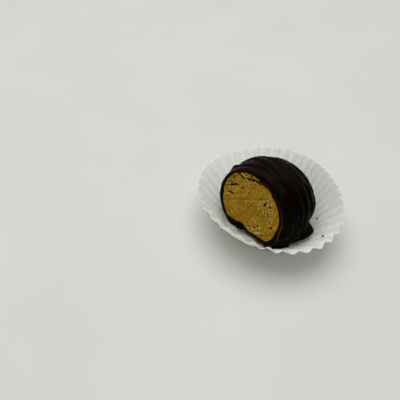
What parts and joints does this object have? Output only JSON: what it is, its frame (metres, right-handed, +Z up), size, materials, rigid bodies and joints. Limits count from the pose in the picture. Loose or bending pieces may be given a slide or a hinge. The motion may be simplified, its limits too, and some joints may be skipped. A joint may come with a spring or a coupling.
{
  "type": "buckeye candy",
  "caption": "Peanut butter ball in a drizzled dark chocolate coat, one side cut away to show the filling, sitting in an open fluted white paper case.",
  "frame": {"origin": "middle of the paper case's round foot, on the table", "axes": "+Z straight up off the table; the cut face looks to the front left, 45.7 degrees round from -Y towards -X"},
  "size_m": [0.057, 0.0617, 0.0301],
  "materials": {
    "peanut_butter": "dull, crumbly peanut butter dough",
    "dark_chocolate": "satin dark chocolate, nearly black",
    "white_paper": "thin matt white greaseproof paper"
  },
  "bodies": {
    "root": {"filling": "peanut_butter", "chocolate_coat": "dark_chocolate", "paper_case": "white_paper"}
  },
  "joints": []
}
